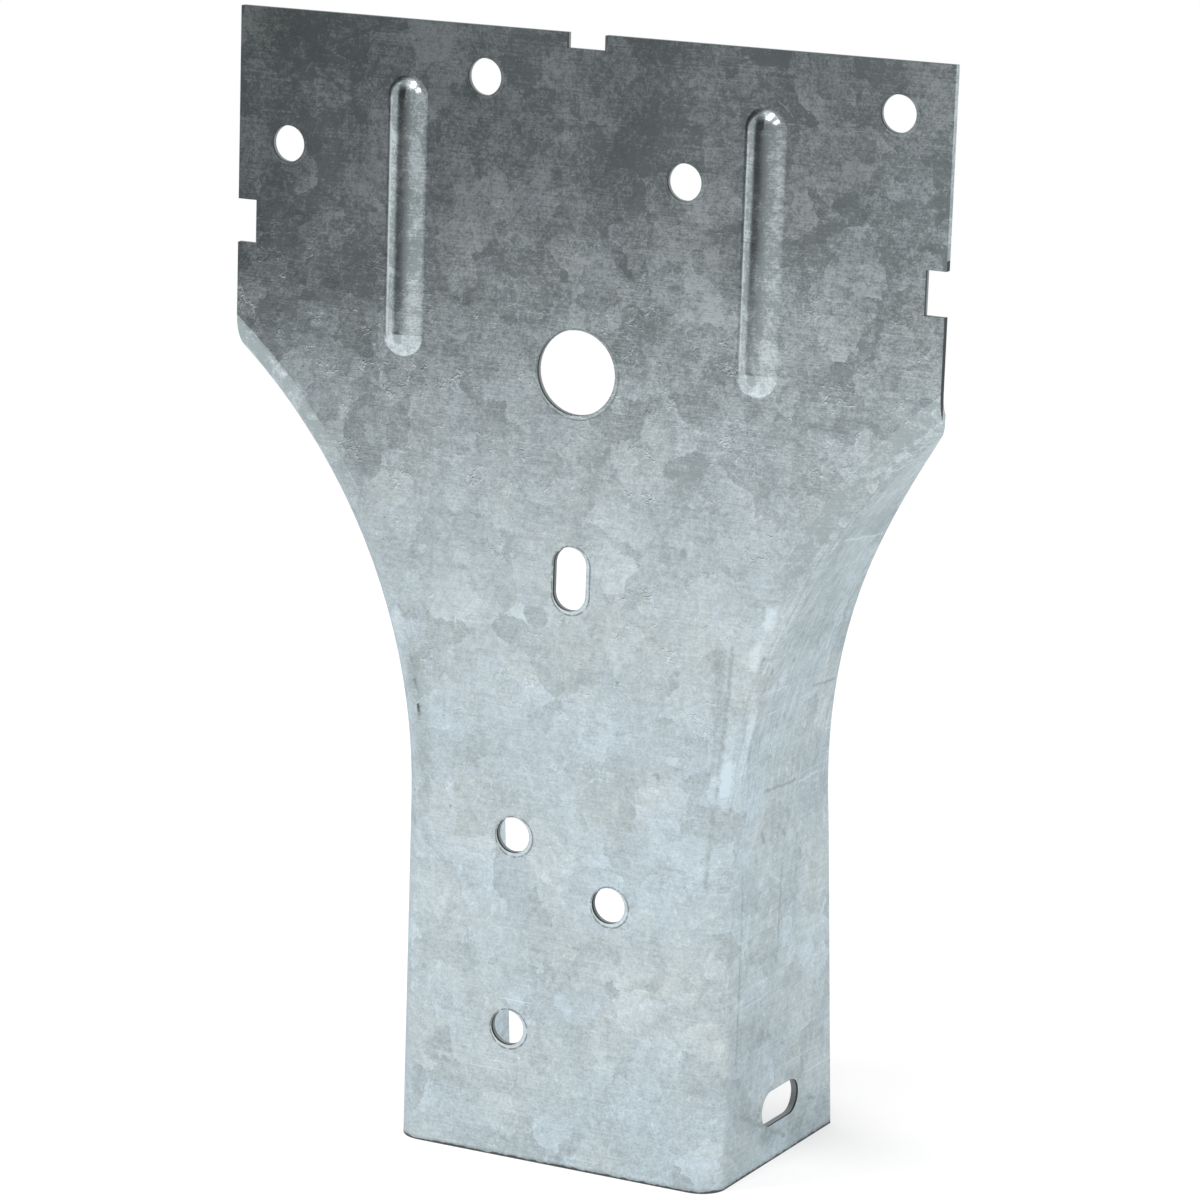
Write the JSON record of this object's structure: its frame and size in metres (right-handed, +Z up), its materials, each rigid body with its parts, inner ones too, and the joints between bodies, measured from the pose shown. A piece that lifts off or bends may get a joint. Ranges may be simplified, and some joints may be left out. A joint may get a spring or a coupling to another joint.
{
  "type": "stud plate tie",
  "caption": "Folded sheet tie that joins a wall stud to its plate: a wide nailing plate that narrows through curved, turned-back flanges into a channel over the stud.",
  "frame": {"origin": "middle of the foot edge, on the back face of the sheet, which bears on the timber", "axes": "+X across the tie, to the right seen from the front; +Y from the sheet into the timber, the way the flanges point; +Z up, from the foot to the top edge of the plate"},
  "size_m": [0.0888, 0.032, 0.1333],
  "materials": {
    "galvanised_sheet": "hot-dip galvanised, faint spangle, satin"
  },
  "bodies": {
    "root": {"stud_plate_tie": "galvanised_sheet"}
  },
  "joints": []
}
